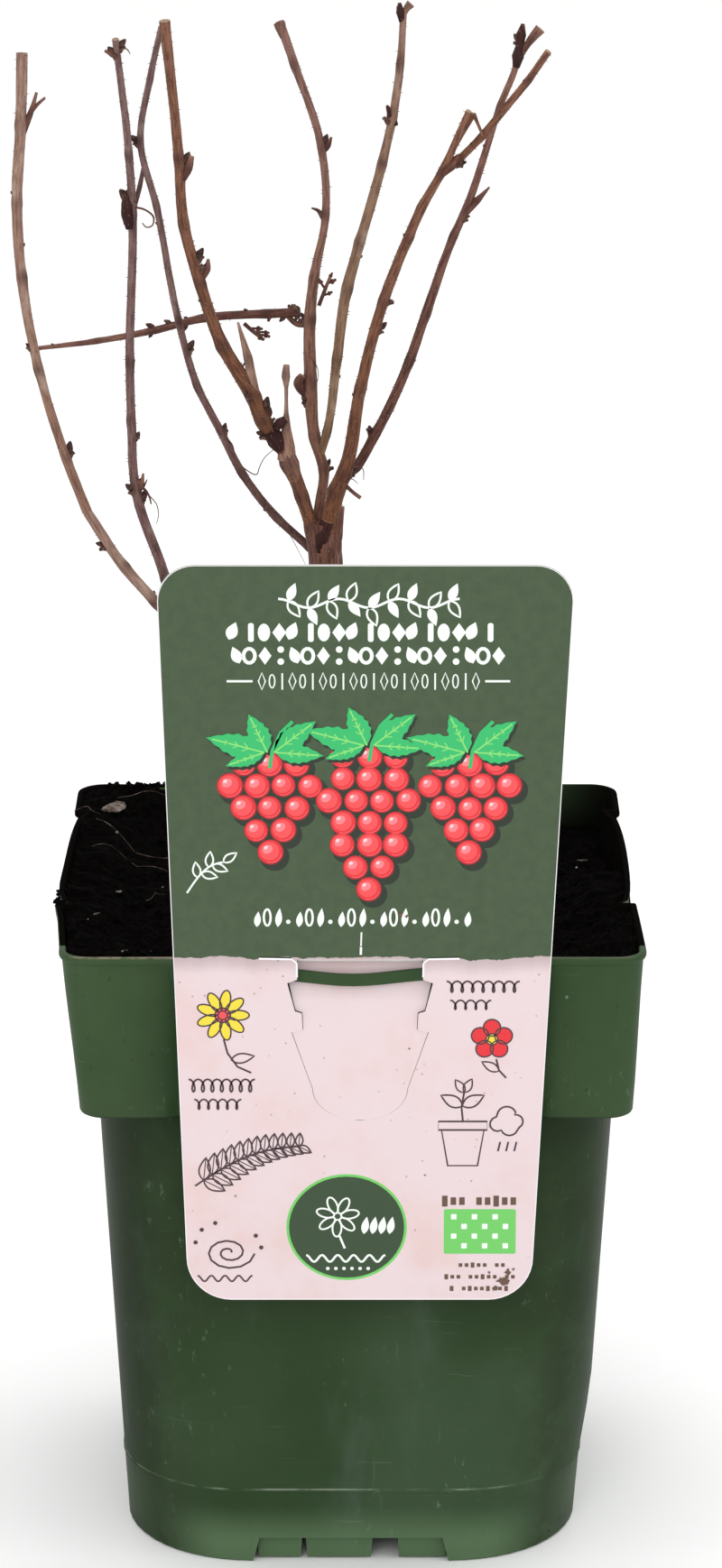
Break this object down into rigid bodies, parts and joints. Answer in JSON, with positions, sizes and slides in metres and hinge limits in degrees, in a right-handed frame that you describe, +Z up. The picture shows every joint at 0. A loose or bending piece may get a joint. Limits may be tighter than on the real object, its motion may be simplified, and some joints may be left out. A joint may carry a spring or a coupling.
{
  "type": "raspberry canes in a pot",
  "caption": "Bare, cut-back raspberry canes in a square green nursery pot of potting soil, with a plastic label card hooked over the pot's rim strap.",
  "frame": {"origin": "centre of the pot's flat underside", "axes": "+Z up, +Y towards the back of the pot, +X to the right seen from the side with the label card"},
  "size_m": [0.1426, 0.134, 0.3483],
  "materials": {
    "pot": "matt, scuffed dark green",
    "soil": "rough, dark peat",
    "label": "satin, printed",
    "canes": "rough brown bark",
    "trusses": "matt, dry"
  },
  "bodies": {
    "root": {"pot": "pot", "soil": "soil", "label_card": "label", "stump": "canes", "cane_far_left_low": "canes", "cane_far_left_top": "canes", "cane_left": "canes", "shoot_left_side": "canes", "cane_middle_left_low": "canes", "cane_middle_left_top": "canes", "cane_thin": "canes", "cane_right": "canes", "shoot_right": "canes", "cane_far_right": "canes", "cane_middle": "canes", "cane_middle_right": "canes", "shoot_cross": "canes", "truss_cross": "trusses", "truss_middle": "trusses"}
  },
  "joints": []
}
